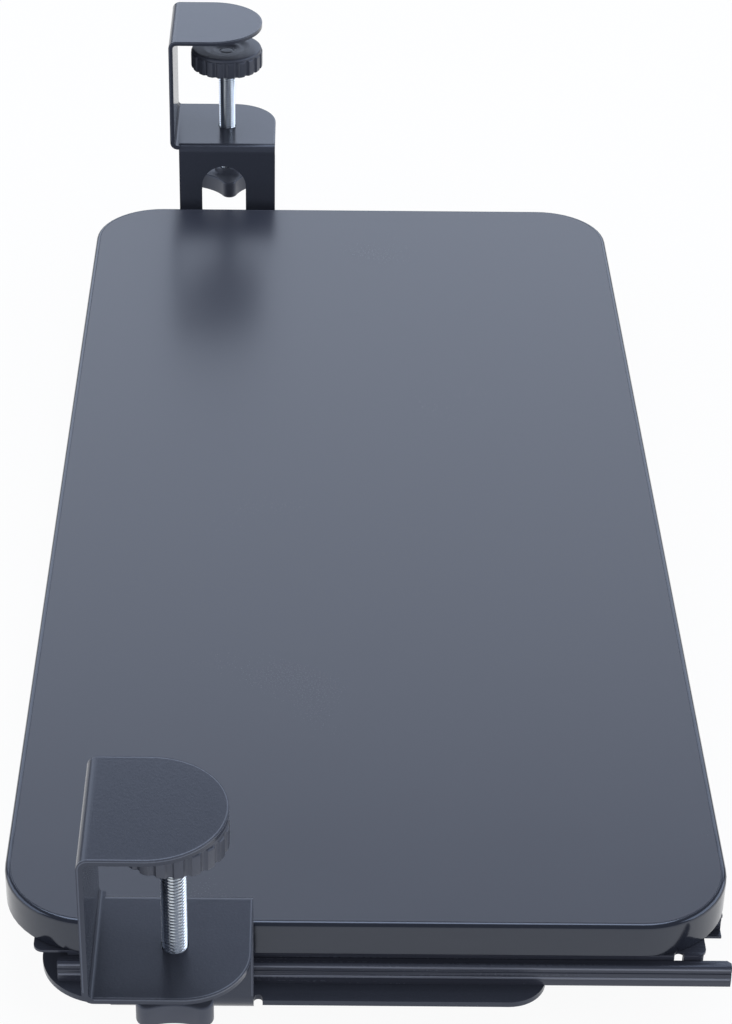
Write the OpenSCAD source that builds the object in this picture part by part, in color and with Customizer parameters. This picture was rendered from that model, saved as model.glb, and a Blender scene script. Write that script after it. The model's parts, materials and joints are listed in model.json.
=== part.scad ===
// Clamp-on keyboard tray that pulls out from under a desk.
// X runs along the board, Y from the user (-Y) to the desk (+Y), Z is up.
// The origin is the middle of the board's top face, in the photographed pose.

/* [Board] */
// Length of the board, clamp to clamp
board_l = 642; // [500:1:800]
// Depth of the board, front to back
board_w = 300; // [285:1:400]
// Thickness of the finished board
board_t = 16; // [14:0.5:25]
// Plan radius of the board's corners
corner_r = 38; // [20:1:80]
// Thickness of the plastic band round the edge
band_t = 2.4; // [1:0.1:4]
// Width left flat on top of the band, inside its rounded upper edge
band_flat = 0.2; // [0.1:0.1:0.4]
// Radius on the band's lower edge
band_lower_r = 0.5; // [0.3:0.1:1]
// Thickness of the laminate on each face
laminate_t = 0.8; // [0.4:0.1:1.5]
// Radius on the band's inner edges, which leaves a groove along the laminate
joint_r = 0.3; // [0.2:0.1:0.8]

/* [Clamp bracket] */
// Thickness of the bent steel sheet
sheet_t = 2.5; // [2:0.1:3.5]
// Inside radius of the bends
bend_r = 2; // [1:0.1:4]
// Inside radius of the wide bend from the flange to the plate
foot_bend_r = 8; // [6:0.5:9]
// Gap between the board's end and the bracket
bracket_gap = 18; // [14:0.5:40]
// Width of the clamp strip
strip_w = 61; // [50:0.5:80]
// Clear height between the two jaws
jaw_opening = 64.5; // [50:0.5:90]
// Height of the lower jaw's top face above the board
lower_jaw_rise = 32.5; // [25:0.5:60]
// Reach of the round upper jaw from the spine's outer face
upper_reach = 54.8; // [45:0.1:80]
// Reach of the lower jaw and width of the hanging flange
lower_reach = 62.9; // [58:0.1:90]
// Corner radius at the lower jaw's free corner
lower_corner_r = 26; // [5:0.5:45]
// Distance from the fixed rail's front end to the spine's outer face
spine_setback = 17.5; // [10:0.5:60]
// Width of the arched window in the flange
window_w = 26.5; // [15:0.5:35]
// Height of the arch above the board's top face
window_rise = 19; // [12:0.5:22]
// Sheet left between the window and the bottom bend
window_sill = 8; // [6:0.5:12]
// Corner radius at the window's sill
window_corner_r = 3; // [1:0.5:6]
// Distance from the spine's outer face to the window's middle
window_reach = 32; // [28:0.5:45]
// Length of the plate under the slide
plate_l = 207.5; // [140:0.5:260]
// Distance the plate reaches in front of the fixed rail
plate_lead = 7.5; // [2:0.5:15]
// Sheet beyond the fixed rail on the plate's hidden side
plate_margin = 9; // [3:0.5:15]
// Corner radius at the plate's rear end
plate_rear_r = 16; // [4:0.5:25]
// Step from the flange's outer face back to the plate's edge
plate_step = 7; // [6:0.1:8]
// Width of the relief notches beside the flange
relief_w = 3.5; // [2:0.5:5]
// Slit between the spine's bend and the flange
flange_slit = 0.6; // [0.3:0.1:3]

/* [Clamp screw] */
// Diameter of the clamp screw
screw_d = 10; // [6:0.5:12]
// Distance from the spine's outer face to the screw's axis
screw_reach = 33.5; // [30:0.5:40]
// Length of screw between the knob and the pad
screw_free_l = 69.3; // [66:0.1:90]
// Diameter of the neck on which the pad turns
neck_d = 6; // [4:0.5:7]
// Diameter of the peened end that keeps the pad on
peen_d = 8.4; // [7.5:0.1:9.5]
// Thickness of the peened end
peen_t = 1.4; // [0.8:0.1:2.5]
// Width across the flats of the welded nut
nut_flats = 17; // [15:0.5:22]
// Height of the welded nut
nut_h = 8; // [4:0.5:10]

/* [Pad and knob] */
// Diameter of the fluted pad
pad_d = 43; // [36:0.5:50]
// Height of the pad
pad_h = 12; // [9:0.5:16]
// Number of flutes round the pad
flute_count = 20; // [12:1:28]
// Depth of a flute
flute_depth = 0.9; // [0.4:0.1:1.5]
// Radius of the cutter for a flute
flute_r = 2.3; // [1.5:0.1:3]
// Edge radius of the pad
pad_edge_r = 1.2; // [0.5:0.1:2]
// Diameter of the shallow dish on the pad
dish_d = 28; // [20:0.5:34]
// Depth of the dish
dish_depth = 1.2; // [0.5:0.1:2]
// Diameter of the recess for the peened end
recess_d = 10; // [9.6:0.1:14]
// Depth of that recess below the dish
recess_depth = 2.6; // [2.6:0.1:4]
// Width of the knob across two flanks
knob_w = 30; // [26:0.5:36]
// Height of the knob's lobes
knob_h = 10; // [7:0.5:14]
// Radius of a lobe
lobe_r = 4.6; // [3:0.1:6.5]
// Depth of the hollow between two lobes
waist_depth = 1.8; // [0.5:0.1:3]
// Radius on the lobes' edges
knob_edge_r = 1; // [0.5:0.1:2.5]
// Diameter of the collar on top of the knob
collar_d = 16; // [14:0.5:22]
// Height of the collar
collar_h = 3.5; // [1:0.5:5]
// Plastic left below the screw inside the knob
knob_floor = 2; // [1:0.1:4]

/* [Slide] */
// Length of each rail
rail_l = 275; // [255:1:295]
// Width of the fixed rail
rail_w = 35; // [30:0.5:45]
// Height of the slide, plate to board
slide_h = 13; // [11.5:0.5:14]
// Thickness of the rolled rail steel
rail_t = 1.2; // [0.8:0.1:1.5]
// Width of the lips on the fixed rail
lip_w = 4.4; // [4:0.1:5]
// Distance the fixed rail stands out past the board's end
rail_overhang = 3.5; // [0:0.5:8]
// Distance from the board's rear edge to the moving rail's end
rail_inset = 11; // [0:0.5:30]
// Radius of the rolled edges on the fixed rail
roll_r = 1.1; // [0.5:0.1:1.2]
// Swell of the fixed rail's flank over the balls
flank_swell = 0.3; // [0.1:0.05:0.4]
// Radius of the groove along the flank
groove_r = 0.45; // [0.2:0.05:0.5]
// Height of that groove above the plate
groove_z = 7; // [5.8:0.1:7.2]
// Length of the open fork at the fixed rail's rear end
fork_l = 30; // [10:1:45]
// Width of that fork
fork_w = 24; // [12:0.5:26]
// Radius in the fork's corners
fork_r = 4; // [1:0.5:8]
// Corner radius on the moving rail's ends
rail_corner_r = 4; // [1:0.5:8]
// Length of the flat tab at the moving rail's front end
tab_l = 14; // [8:1:24]
// Radius of the notches near the moving rail's rear end
notch_r = 2; // [1.5:0.1:4]
// Distance from the rear end to the middle of those notches
notch_inset = 11.4; // [11.2:0.1:25]
// Diameter of a bearing ball
ball_d = 4; // [3.7:0.1:4.3]
// Height of the balls' row above the plate
ball_z = 4.6; // [4.3:0.1:5]
// Balls along each side of a cage
ball_count = 8; // [4:1:8]
// Spacing of the balls
ball_pitch = 8.5; // [6:0.1:8.8]
// Length of a ball cage
cage_l = 72; // [68:1:76]
// Thickness of the cage's sheet
cage_t = 0.5; // [0.4:0.1:0.5]
// Cage left above and below a ball hole
cage_rim = 0.8; // [0.4:0.1:1]
// Radius of the stop dimples
stop_r = 1.4; // [0.8:0.1:1.6]
// Reach of the stop dimples into the ball track
stop_reach = 2; // [1.5:0.1:2.2]

/* [Fixings] */
// Shank diameter of the screws through the plate
plate_screw_d = 4; // [3:0.5:5]
// Head diameter of those screws
plate_screw_head_d = 7.5; // [6:0.5:9]
// Length of those screws
plate_screw_l = 5; // [4.5:0.5:8]
// Distance of the first of them from the fixed rail's front end
plate_screw_first = 25; // [15:1:50]
// Distance of the last of them from the plate's rear end
plate_screw_last = 15; // [8:1:40]
// Shank diameter of the screws into the board
board_screw_d = 3.8; // [3:0.2:4.6]
// Head diameter of those screws
board_screw_head_d = 7.4; // [6:0.2:9]
// Head height of those screws
board_screw_head_h = 2.2; // [1.2:0.2:2.8]
// Length of those screws under the head
board_screw_l = 11; // [8:0.5:12]
// Distance of the end ones from the moving rail's ends
board_screw_inset = 36; // [30:1:60]
// Screws in each rail
screws_per_rail = 3; // [2:1:5]

/* [Pose in the photograph] */
// How far the tray is pulled out
tray_pull = 10; // [0:1:40]
// Gap between the upper jaw and the right pad
right_pad_gap = 2.2; // [2.1:0.1:15]
// Gap between the upper jaw and the left pad
left_pad_gap = 13.3; // [2.1:0.1:15]
// Turn of the right knob
right_knob_turn = 0; // [0:5:90]
// Turn of the left knob
left_knob_turn = 40; // [0:5:90]

/* [Clearances] */
// Radial play of the turning and sliding round parts
play = 0.05; // [0.02:0.01:0.1]
// Room round a fixing in its hole
hole_room = 0.2; // [0.1:0.05:0.5]
// Room round the clamp screw in the lower jaw
jaw_hole_room = 0.4; // [0.2:0.1:1]
// Room between the moving rail and the fixed rail's lips
lip_room = 0.35; // [0.3:0.05:0.5]
// Room round a ball in its track and its hole
ball_room = 0.1; // [0.05:0.01:0.12]
// Room above the fixed rail's lips and under the cage's and moving rail's edges
slide_room = 0.15; // [0.1:0.05:0.2]
// Room between the board's underside and the fixed rail
board_room = 2.6; // [2:0.1:3]

/* [Hidden] */
$fn = 64;
steel_black = "#34363d";
rail_black = "#26272c";
laminate_grey = "#4c4f5a";
plastic_black = "#1f2024";
zinc = "#b9bfc7";
fibreboard = "#8a6b4c";

// Band, rounded over nearly all of its thickness at the upper edge
band_edge_r = band_t - joint_r - band_flat;

// Heights
bend_out = bend_r + sheet_t;
foot_out = foot_bend_r + sheet_t;
plate_top = -board_t - slide_h;
plate_under = plate_top - sheet_t;
lower_jaw_under = lower_jaw_rise - sheet_t;
upper_jaw_under = lower_jaw_rise + jaw_opening;
upper_jaw_top = upper_jaw_under + sheet_t;

// Places along Y, all led by the board's rear edge
moving_rear = board_w / 2 - rail_inset;
fixed_rear = moving_rear + tray_pull;
fixed_front = fixed_rear - rail_l;
moving_front = moving_rear - rail_l;
spine_y = fixed_front + spine_setback;
upper_tip_y = spine_y + upper_reach;
lower_tip_y = spine_y + lower_reach;
screw_y = spine_y + screw_reach;
window_y = spine_y + window_reach;
plate_front = fixed_front - plate_lead;
plate_rear = plate_front + plate_l;

// Places along X, outwards from the board's end
strip_in = bracket_gap;
strip_out = bracket_gap + strip_w;
strip_mid = (strip_in + strip_out) / 2;
flange_out = strip_in + sheet_t;
plate_out = flange_out - plate_step;
slide_x = rail_overhang - rail_w / 2;
plate_in = slide_x - rail_w / 2 - plate_margin;
plate_w = plate_out - plate_in;

// Flange, from the spine's bend to the lower jaw's tip
flange_front = spine_y + bend_out + flange_slit;
flange_w = lower_tip_y - flange_front;
window_bottom = plate_under + foot_out + window_sill;

// Slide section, measured from the slide's middle and the plate's top
lip_top = slide_h - board_room;
track_out = rail_w / 2 - rail_t;
moving_half = rail_w / 2 - lip_w - lip_room;
ball_x = (track_out + moving_half) / 2;
ball_r = ball_d / 2;
race_r = ball_r + ball_room;
cage_under = rail_t + slide_room;
cage_top = ball_z + race_r + cage_rim;
moving_under = cage_under + cage_t + slide_room;
cage_y = (fixed_front + moving_rear) / 2;

// Clamp screw set, measured from the pad's underside
screw_r = screw_d / 2;
neck_z = play;
peen_z = pad_h - dish_depth - recess_depth + play;
knob_top = -screw_free_l;

// Puts a right-hand piece, drawn outwards from the board's end, on either side
module on_side(side) {
    mirror([side < 0 ? 1 : 0, 0, 0])
        translate([board_l / 2, 0, 0])
            children();
}

// Stands a slide piece on its plate, with its section across X
module on_slide() {
    translate([slide_x, 0, plate_top])
        children();
}

// Carries a flat section, drawn in X and Z, from one Y to another
module along_y(y0, y1) {
    translate([0, y1, 0])
        rotate([90, 0, 0])
            linear_extrude(y1 - y0)
                children();
}

// Rectangle with four round corners
module rounded_rect(size, r) {
    square([size.x - 2 * r, size.y], center = true);
    square([size.x, size.y - 2 * r], center = true);
    for (sx = [-1, 1], sy = [-1, 1])
        translate([sx * (size.x / 2 - r), sy * (size.y / 2 - r)])
            circle(r);
}

// Quarter of a bent sheet with the given inside radius, centred on the bend's axis
module bend_quarter(r) {
    difference() {
        intersection() {
            circle(r + sheet_t);
            square(r + sheet_t);
        }
        circle(r);
    }
}

// Places of the board screws along Y
function board_screw_ys() = [for (i = [0:screws_per_rail - 1])
    moving_front + board_screw_inset + i * (rail_l - 2 * board_screw_inset) / (screws_per_rail - 1)];

// Places of the plate screws along Y
function plate_screw_ys() =
    let (first = fixed_front + plate_screw_first, last = plate_rear - plate_screw_last)
    [for (i = [0:screws_per_rail - 1]) first + i * (last - first) / (screws_per_rail - 1)];

// Places of the balls along Y
function ball_ys() = [for (i = [0:ball_count - 1]) cage_y + (i - (ball_count - 1) / 2) * ball_pitch];

// Pilot holes for the board screws, on both sides
module board_pilots(r) {
    for (side = [-1, 1], y = board_screw_ys())
        on_side(side)
            translate([slide_x, y, -board_t - rail_t])
                cylinder(h = board_screw_l + hole_room, r = r);
}

// One layer of the board inside its edge band
module board_layer(top, t) {
    inner_r = corner_r - band_t;
    translate([0, 0, top - t])
        linear_extrude(t)
            rounded_rect([board_l - 2 * band_t, board_w - 2 * band_t], inner_r);
}

module board_core() {
    color(fibreboard)
        difference() {
            board_layer(-laminate_t, board_t - 2 * laminate_t);
            board_pilots(board_screw_d / 2 + play);
        }
}

module top_laminate() {
    color(laminate_grey)
        board_layer(0, laminate_t);
}

module bottom_laminate() {
    color(laminate_grey)
        difference() {
            board_layer(laminate_t - board_t, laminate_t);
            board_pilots(board_screw_d / 2 + play);
        }
}

// Quarter of a disc, towards +X and +Y
module quarter_disc(r) {
    intersection() {
        circle(r);
        square(r);
    }
}

// Section of the band, its inner face on X = 0, with its own radius at each outer edge
module band_section() {
    translate([0, band_lower_r - board_t])
        square([band_t, board_t - band_lower_r - band_edge_r]);
    translate([joint_r, -board_t])
        square([band_t - band_lower_r - joint_r, board_t - band_edge_r]);
    translate([joint_r, -board_t / 2])
        square([band_t - band_edge_r - joint_r, board_t / 2]);
    translate([0, joint_r - board_t])
        square([band_t - band_edge_r, board_t - 2 * joint_r]);
    translate([band_t - band_edge_r, -band_edge_r])
        quarter_disc(band_edge_r);
    translate([band_t - band_lower_r, band_lower_r - board_t])
        mirror([0, 1])
            quarter_disc(band_lower_r);
    for (z = [-joint_r, joint_r - board_t])
        translate([joint_r, z])
            circle(joint_r);
}

module edge_band() {
    corner_x = board_l / 2 - corner_r;
    corner_y = board_w / 2 - corner_r;
    inner_r = corner_r - band_t;
    color(plastic_black) {
        for (turn = [0, 180]) {
            rotate([0, 0, turn])
                translate([board_l / 2 - band_t, 0, 0])
                    along_y(-corner_y, corner_y)
                        band_section();
            rotate([0, 0, turn + 90])
                translate([board_w / 2 - band_t, 0, 0])
                    along_y(-corner_x, corner_x)
                        band_section();
        }
        for (sx = [-1, 1], sy = [-1, 1])
            translate([sx * corner_x, sy * corner_y, 0])
                rotate([0, 0, sx > 0 ? (sy > 0 ? 0 : -90) : (sy > 0 ? 90 : 180)])
                    rotate_extrude(angle = 90, $fn = 128)
                        translate([inner_r, 0])
                            band_section();
    }
}

// Section of the spine in Y and Z, with the bends towards both jaws
module spine_section() {
    translate([spine_y, lower_jaw_under + bend_out])
        square([sheet_t, upper_jaw_top - lower_jaw_under - 2 * bend_out]);
    translate([spine_y + bend_out, upper_jaw_top - bend_out])
        mirror([1, 0])
            bend_quarter(bend_r);
    translate([spine_y + bend_out, lower_jaw_under + bend_out])
        rotate(180)
            bend_quarter(bend_r);
}

// Upper jaw in plan, straight from the spine and then half round
module upper_jaw_plan() {
    tip_r = strip_w / 2;
    translate([strip_in, spine_y + bend_out])
        square([strip_w, upper_reach - bend_out - tip_r]);
    translate([strip_mid, upper_tip_y - tip_r])
        intersection() {
            circle(tip_r);
            translate([-tip_r, 0])
                square(2 * tip_r);
        }
}

// Lower jaw in plan, up to the flange's bend, with one round corner
module lower_jaw_plan() {
    flat_in = strip_in + bend_out;
    translate([strip_in, spine_y + bend_out])
        square([bend_out, flange_front - spine_y - bend_out]);
    translate([flat_in, spine_y + bend_out])
        square([strip_out - lower_corner_r - flat_in, lower_reach - bend_out]);
    translate([flat_in, spine_y + bend_out])
        square([strip_out - flat_in, lower_reach - bend_out - lower_corner_r]);
    translate([strip_out - lower_corner_r, lower_tip_y - lower_corner_r])
        circle(lower_corner_r);
}

// Section of the flange in X and Z, with the bends to the lower jaw and to the plate
module flange_section() {
    translate([strip_in, plate_under + foot_out])
        square([sheet_t, lower_jaw_rise - plate_under - bend_out - foot_out]);
    translate([strip_in + bend_out, lower_jaw_rise - bend_out])
        mirror([1, 0])
            bend_quarter(bend_r);
    translate([flange_out - foot_out, plate_under + foot_out])
        mirror([0, 1])
            bend_quarter(foot_bend_r);
}

// Arched window in Y and Z
module window_outline() {
    arch_r = window_w / 2;
    arch_z = window_rise - arch_r;
    translate([window_y, arch_z])
        circle(arch_r);
    translate([window_y, (arch_z + window_bottom) / 2 + window_corner_r / 2])
        square([window_w, arch_z - window_bottom - window_corner_r], center = true);
    translate([window_y, window_bottom + window_corner_r])
        square([window_w - 2 * window_corner_r, 2 * window_corner_r], center = true);
    for (s = [-1, 1])
        translate([window_y + s * (arch_r - window_corner_r), window_bottom + window_corner_r])
            circle(window_corner_r);
}

// Plate in plan: round at the front, cut back to the flange's bend with a relief on each side
module plate_plan() {
    front_r = plate_w / 2;
    mid_x = plate_in + front_r;
    root = flange_out - foot_out;
    relief_r = relief_w / 2;
    difference() {
        union() {
            translate([mid_x, plate_front + front_r])
                circle(front_r);
            translate([plate_in, plate_front + front_r])
                square([plate_w, plate_l - front_r - plate_rear_r]);
            translate([plate_in + plate_rear_r, plate_rear - 2 * plate_rear_r])
                square([plate_w - 2 * plate_rear_r, 2 * plate_rear_r]);
            for (x = [plate_in + plate_rear_r, plate_out - plate_rear_r])
                translate([x, plate_rear - plate_rear_r])
                    circle(plate_rear_r);
        }
        translate([root, flange_front])
            square([foot_out, flange_w]);
        for (y = [flange_front - relief_r, lower_tip_y + relief_r])
            translate([root + relief_r, y]) {
                circle(relief_r);
                translate([0, -relief_r])
                    square([foot_out, relief_w]);
            }
    }
}

module clamp_bracket() {
    color(steel_black)
        difference() {
            union() {
                translate([strip_in, 0, 0])
                    rotate([90, 0, 90])
                        linear_extrude(strip_w)
                            spine_section();
                translate([0, 0, upper_jaw_under])
                    linear_extrude(sheet_t)
                        upper_jaw_plan();
                translate([0, 0, lower_jaw_under])
                    linear_extrude(sheet_t)
                        lower_jaw_plan();
                along_y(flange_front, lower_tip_y)
                    flange_section();
                translate([0, 0, plate_under])
                    linear_extrude(sheet_t)
                        plate_plan();
            }
            translate([strip_in - sheet_t, 0, 0])
                rotate([90, 0, 90])
                    linear_extrude(3 * sheet_t)
                        window_outline();
            translate([strip_mid, screw_y, lower_jaw_under - sheet_t])
                cylinder(h = 3 * sheet_t, r = screw_r + jaw_hole_room);
            for (y = plate_screw_ys())
                translate([slide_x, y, plate_top + rail_t])
                    plate_screw_shape(play);
        }
}

module weld_nut() {
    color(zinc)
        translate([strip_mid, screw_y, lower_jaw_under - nut_h])
            difference() {
                cylinder(h = nut_h, d = nut_flats / cos(30), $fn = 6);
                translate([0, 0, -1])
                    cylinder(h = nut_h + 2, r = screw_r + play);
            }
}

// Raises a clamp screw set so that its pad leaves the given gap under the upper jaw
module at_pad(gap) {
    translate([strip_mid, screw_y, upper_jaw_under - gap - pad_h])
        children();
}

// Screw with its neck and peened end, shouldered under the pad
module clamp_screw() {
    color(zinc) {
        translate([0, 0, knob_top - knob_h + knob_floor])
            cylinder(h = screw_free_l + knob_h - knob_floor, r = screw_r);
        cylinder(h = peen_z + peen_t, r = neck_d / 2);
        translate([0, 0, peen_z])
            cylinder(h = peen_t, r = peen_d / 2);
    }
}

// Half section of the pad's body, with round edges
module pad_section() {
    pad_r = pad_d / 2;
    square([pad_r - pad_edge_r, pad_h]);
    translate([0, pad_edge_r])
        square([pad_r, pad_h - 2 * pad_edge_r]);
    for (z = [pad_edge_r, pad_h - pad_edge_r])
        translate([pad_r - pad_edge_r, z])
            intersection() {
                circle(pad_edge_r);
                translate([0, -pad_edge_r])
                    square(2 * pad_edge_r);
            }
}

module pressure_pad() {
    flute_at = pad_d / 2 - flute_depth + flute_r;
    color(plastic_black)
        translate([0, 0, neck_z])
            difference() {
                rotate_extrude()
                    pad_section();
                for (i = [0:flute_count - 1])
                    rotate(i * 360 / flute_count)
                        translate([flute_at, 0, -1])
                            cylinder(h = pad_h + 2, r = flute_r);
                translate([0, 0, pad_h - dish_depth])
                    cylinder(h = pad_h, d = dish_d);
                translate([0, 0, pad_h - dish_depth - recess_depth])
                    cylinder(h = pad_h, d = recess_d);
                translate([0, 0, -1])
                    cylinder(h = pad_h, r = neck_d / 2 + play);
            }
}

// Plan of the knob: a rounded square with hollow flanks
module knob_plan() {
    half = knob_w / 2;
    lobe_at = half - lobe_r;
    // Radius and place of the arc that is tangent to two lobes and bites to the waist
    waist = half - waist_depth;
    waist_r = (lobe_at * lobe_at + pow(waist - lobe_at, 2) - lobe_r * lobe_r)
        / (2 * (lobe_r - waist + lobe_at));
    difference() {
        rounded_rect([knob_w, knob_w], lobe_r);
        for (turn = [0:90:270])
            rotate(turn)
                translate([waist + waist_r, 0])
                    circle(waist_r, $fn = 96);
    }
}

module star_knob(turn) {
    tip_r = norm([knob_w / 2 - lobe_r, knob_w / 2 - lobe_r]) + lobe_r;
    color(plastic_black)
        translate([0, 0, knob_top - knob_h])
            difference() {
                union() {
                    intersection() {
                        rotate(turn)
                            linear_extrude(knob_h)
                                knob_plan();
                        rotate_extrude() {
                            square([tip_r - knob_edge_r, knob_h]);
                            translate([0, knob_edge_r])
                                square([tip_r, knob_h - 2 * knob_edge_r]);
                            for (z = [knob_edge_r, knob_h - knob_edge_r])
                                translate([tip_r - knob_edge_r, z])
                                    circle(knob_edge_r);
                        }
                    }
                    cylinder(h = knob_h + collar_h, d = collar_d);
                }
                translate([0, 0, knob_floor])
                    cylinder(h = knob_h + collar_h, r = screw_r + play);
            }
}

// Section of the fixed rail: a lipped channel whose flanks swell over the balls
module fixed_rail_section() {
    half = rail_w / 2;
    swell_h = groove_z - groove_r;
    swell_r = (swell_h * swell_h / 4 + flank_swell * flank_swell) / (2 * flank_swell);
    difference() {
        union() {
            translate([-half + flank_swell, 0])
                square([rail_w - 2 * flank_swell, lip_top - roll_r]);
            translate([-half + flank_swell + roll_r, 0])
                square([rail_w - 2 * (flank_swell + roll_r), lip_top]);
            for (s = [-1, 1]) {
                translate([s * (half - flank_swell - roll_r), lip_top - roll_r])
                    circle(roll_r);
                intersection() {
                    translate([s * (half - swell_r), swell_h / 2])
                        circle(swell_r, $fn = 128);
                    translate([s * half - rail_t, 0])
                        square([2 * rail_t, swell_h]);
                }
            }
        }
        translate([-track_out, rail_t])
            square([2 * track_out, lip_top - 2 * rail_t]);
        translate([lip_w - half, rail_t])
            square([rail_w - 2 * lip_w, slide_h]);
        for (s = [-1, 1]) {
            translate([s * (half - flank_swell), groove_z])
                circle(groove_r);
            translate([s * ball_x, ball_z])
                circle(race_r);
        }
    }
}

// Fork cut from the fixed rail's floor at its rear end
module fork_plan() {
    fork_front = fixed_rear - fork_l;
    translate([-fork_w / 2, fork_front + fork_r])
        square([fork_w, fork_l]);
    translate([fork_r - fork_w / 2, fork_front])
        square([fork_w - 2 * fork_r, fork_l]);
    for (s = [-1, 1])
        translate([s * (fork_w / 2 - fork_r), fork_front + fork_r])
            circle(fork_r);
}

// Stop dimple that points along X from the given face
module stop_dimple(side, from_x, y) {
    translate([side * from_x, y, ball_z])
        rotate([0, 90, 0])
            cylinder(h = 2 * stop_reach, r = stop_r, center = true);
}

module fixed_rail() {
    lip_bevel = lip_w / 2;
    color(rail_black)
        on_slide()
            difference() {
                union() {
                    along_y(fixed_front, fixed_rear)
                        fixed_rail_section();
                    for (s = [-1, 1])
                        intersection() {
                            stop_dimple(s, track_out, fixed_front + 2 * stop_r);
                            translate([-rail_w / 2 + rail_t / 2, fixed_front, 0])
                                cube([rail_w - rail_t, 4 * stop_r, lip_top]);
                        }
                }
                translate([0, 0, -1])
                    linear_extrude(rail_t + 2)
                        fork_plan();
                for (s = [-1, 1], y = [fixed_front, fixed_rear])
                    translate([s * (rail_w / 2 - lip_w), y, lip_top - rail_t - 0.1])
                        rotate(45)
                            translate([-lip_bevel / 2, -lip_bevel / 2, 0])
                                cube([lip_bevel, lip_bevel, 2 * rail_t]);
                for (y = plate_screw_ys())
                    translate([0, y, rail_t])
                        plate_screw_shape(play);
            }
}

// Section of the moving rail: a channel that opens down, with ball tracks in its flanks
module moving_rail_section() {
    difference() {
        translate([-moving_half, moving_under])
            square([2 * moving_half, slide_h - moving_under]);
        translate([rail_t - moving_half, 0])
            square([2 * (moving_half - rail_t), slide_h - rail_t]);
        for (s = [-1, 1])
            translate([s * ball_x, ball_z])
                circle(race_r);
    }
}

module moving_rail() {
    middle_y = (moving_front + moving_rear) / 2;
    color(rail_black)
        on_slide()
            difference() {
                union() {
                    intersection() {
                        along_y(moving_front, moving_rear)
                            moving_rail_section();
                        translate([0, middle_y, 0])
                            linear_extrude(slide_h)
                                rounded_rect([2 * moving_half, rail_l], rail_corner_r);
                    }
                    for (s = [-1, 1])
                        intersection() {
                            stop_dimple(s, moving_half, moving_rear - rail_corner_r - 2 * stop_r);
                            translate([s * (moving_half + stop_reach / 2 - rail_t / 4), middle_y, 0])
                                cube([stop_reach + rail_t / 2, rail_l, 2 * slide_h], center = true);
                        }
                }
                translate([-moving_half - 1, moving_front - 1, -1])
                    cube([2 * moving_half + 2, tab_l + 1, slide_h - rail_t + 1]);
                for (s = [-1, 1])
                    translate([s * moving_half, moving_rear - notch_inset, -1])
                        cylinder(h = slide_h + 2, r = notch_r);
                for (y = board_screw_ys())
                    translate([0, y, 0])
                        cylinder(h = slide_h + 1, r = board_screw_d / 2 + hole_room);
            }
}

module ball_cage() {
    color(zinc)
        on_slide()
            difference() {
                along_y(cage_y - cage_l / 2, cage_y + cage_l / 2) {
                    translate([-ball_x - cage_t / 2, cage_under])
                        square([2 * ball_x + cage_t, cage_t]);
                    for (s = [-1, 1])
                        translate([s * ball_x - cage_t / 2, cage_under])
                            square([cage_t, cage_top - cage_under]);
                }
                for (s = [-1, 1], y = ball_ys())
                    translate([s * ball_x, y, ball_z])
                        rotate([0, 90, 0])
                            cylinder(h = 4 * cage_t, r = race_r, center = true);
            }
}

module bearing_balls() {
    color(zinc)
        on_slide()
            for (s = [-1, 1], y = ball_ys())
                translate([s * ball_x, y, ball_z])
                    sphere(ball_r);
}

// Countersunk screw, its head flush at Z = 0, grown by the given room
module plate_screw_shape(room) {
    head_r = plate_screw_head_d / 2 + room;
    shank_r = plate_screw_d / 2 + room;
    cone_h = head_r - shank_r;
    translate([0, 0, -cone_h])
        cylinder(h = cone_h, r1 = shank_r, r2 = head_r);
    translate([0, 0, -plate_screw_l - room])
        cylinder(h = plate_screw_l, r = shank_r);
}

module plate_screws() {
    color(zinc)
        on_slide()
            for (y = plate_screw_ys())
                translate([0, y, rail_t])
                    plate_screw_shape(0);
}

module board_screws() {
    color(zinc)
        on_slide()
            for (y = board_screw_ys())
                translate([0, y, slide_h - rail_t]) {
                    cylinder(h = board_screw_l, r = board_screw_d / 2);
                    translate([0, 0, -board_screw_head_h])
                        cylinder(h = board_screw_head_h, r = board_screw_head_d / 2);
                }
}

board_core();
top_laminate();
bottom_laminate();
edge_band();
on_side(1) clamp_bracket();  // right_clamp_bracket
on_side(-1) clamp_bracket();  // left_clamp_bracket
on_side(1) weld_nut();  // right_weld_nut
on_side(-1) weld_nut();  // left_weld_nut
on_side(1) at_pad(right_pad_gap) clamp_screw();  // right_clamp_screw
on_side(-1) at_pad(left_pad_gap) clamp_screw();  // left_clamp_screw
on_side(1) at_pad(right_pad_gap) pressure_pad();  // right_pressure_pad
on_side(-1) at_pad(left_pad_gap) pressure_pad();  // left_pressure_pad
on_side(1) at_pad(right_pad_gap) star_knob(right_knob_turn);  // right_star_knob
on_side(-1) at_pad(left_pad_gap) star_knob(left_knob_turn);  // left_star_knob
on_side(1) fixed_rail();  // right_fixed_rail
on_side(-1) fixed_rail();  // left_fixed_rail
on_side(1) moving_rail();  // right_moving_rail
on_side(-1) moving_rail();  // left_moving_rail
on_side(1) ball_cage();  // right_ball_cage
on_side(-1) ball_cage();  // left_ball_cage
on_side(1) bearing_balls();  // right_bearing_balls
on_side(-1) bearing_balls();  // left_bearing_balls
on_side(1) plate_screws();  // right_plate_screws
on_side(-1) plate_screws();  // left_plate_screws
on_side(1) board_screws();  // right_board_screws
on_side(-1) board_screws();  // left_board_screws
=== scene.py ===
# %% [markdown]
# # A clamp-on keyboard tray
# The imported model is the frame: every solid arrives in metres, in its place. This
# lesson dresses it. First come the camera and the finishes, then the pieces whose fine
# shape belongs to the picture: screw threads, fluted pads, star knobs, driven screw
# heads, paint beads on the sheet edges and ribs along the rails. Light and floor come
# last, because they are judged on the finished pieces.

# %% Load the frame
import json
import math
import bpy
import numpy as np
from mathutils import Matrix, Vector


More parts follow.
